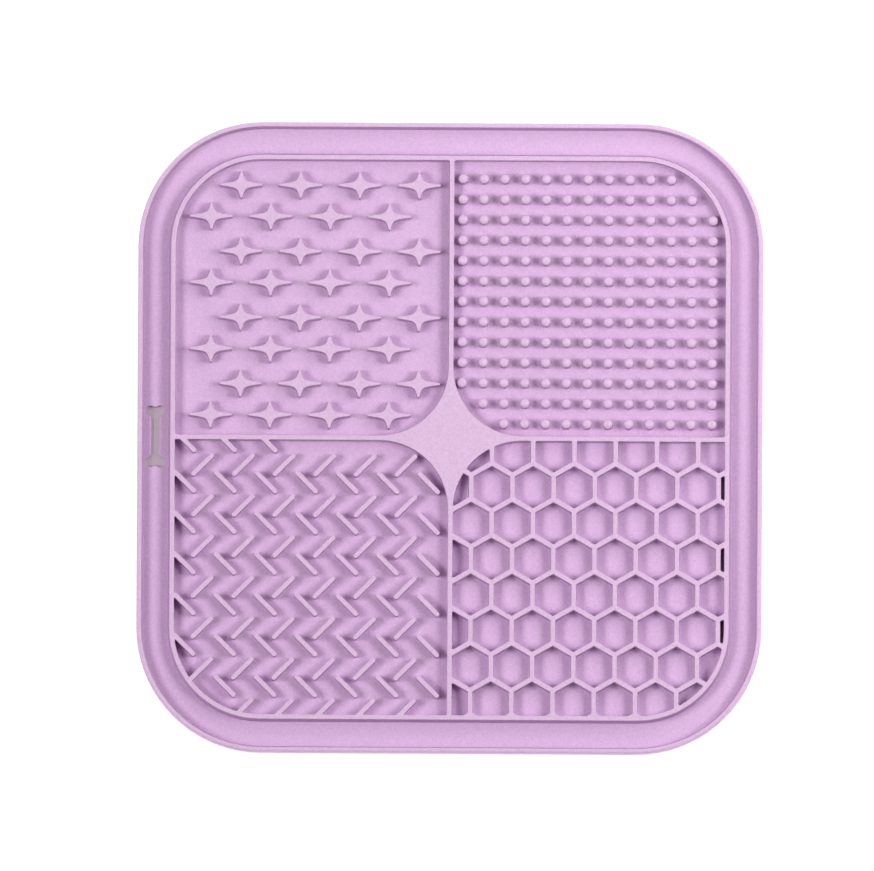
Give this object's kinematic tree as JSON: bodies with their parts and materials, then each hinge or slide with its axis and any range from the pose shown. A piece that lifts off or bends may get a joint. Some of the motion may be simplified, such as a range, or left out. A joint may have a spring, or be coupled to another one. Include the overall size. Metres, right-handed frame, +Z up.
{
  "type": "lick mat",
  "caption": "Square moulded silicone lick mat with a lip, a spill channel, and wells of stars, nubs, herringbone bars and honeycomb around a four-pointed centre plate.",
  "frame": {"origin": "the middle of the flat underside, where the mat rests", "axes": "+Z up out of the wells, +X to the right and +Y to the star and nub wells, as in the picture"},
  "size_m": [0.2, 0.2018, 0.0075],
  "materials": {
    "silicone": "matte moulded silicone rubber, lilac"
  },
  "bodies": {
    "root": {"mat": "silicone"}
  },
  "joints": []
}
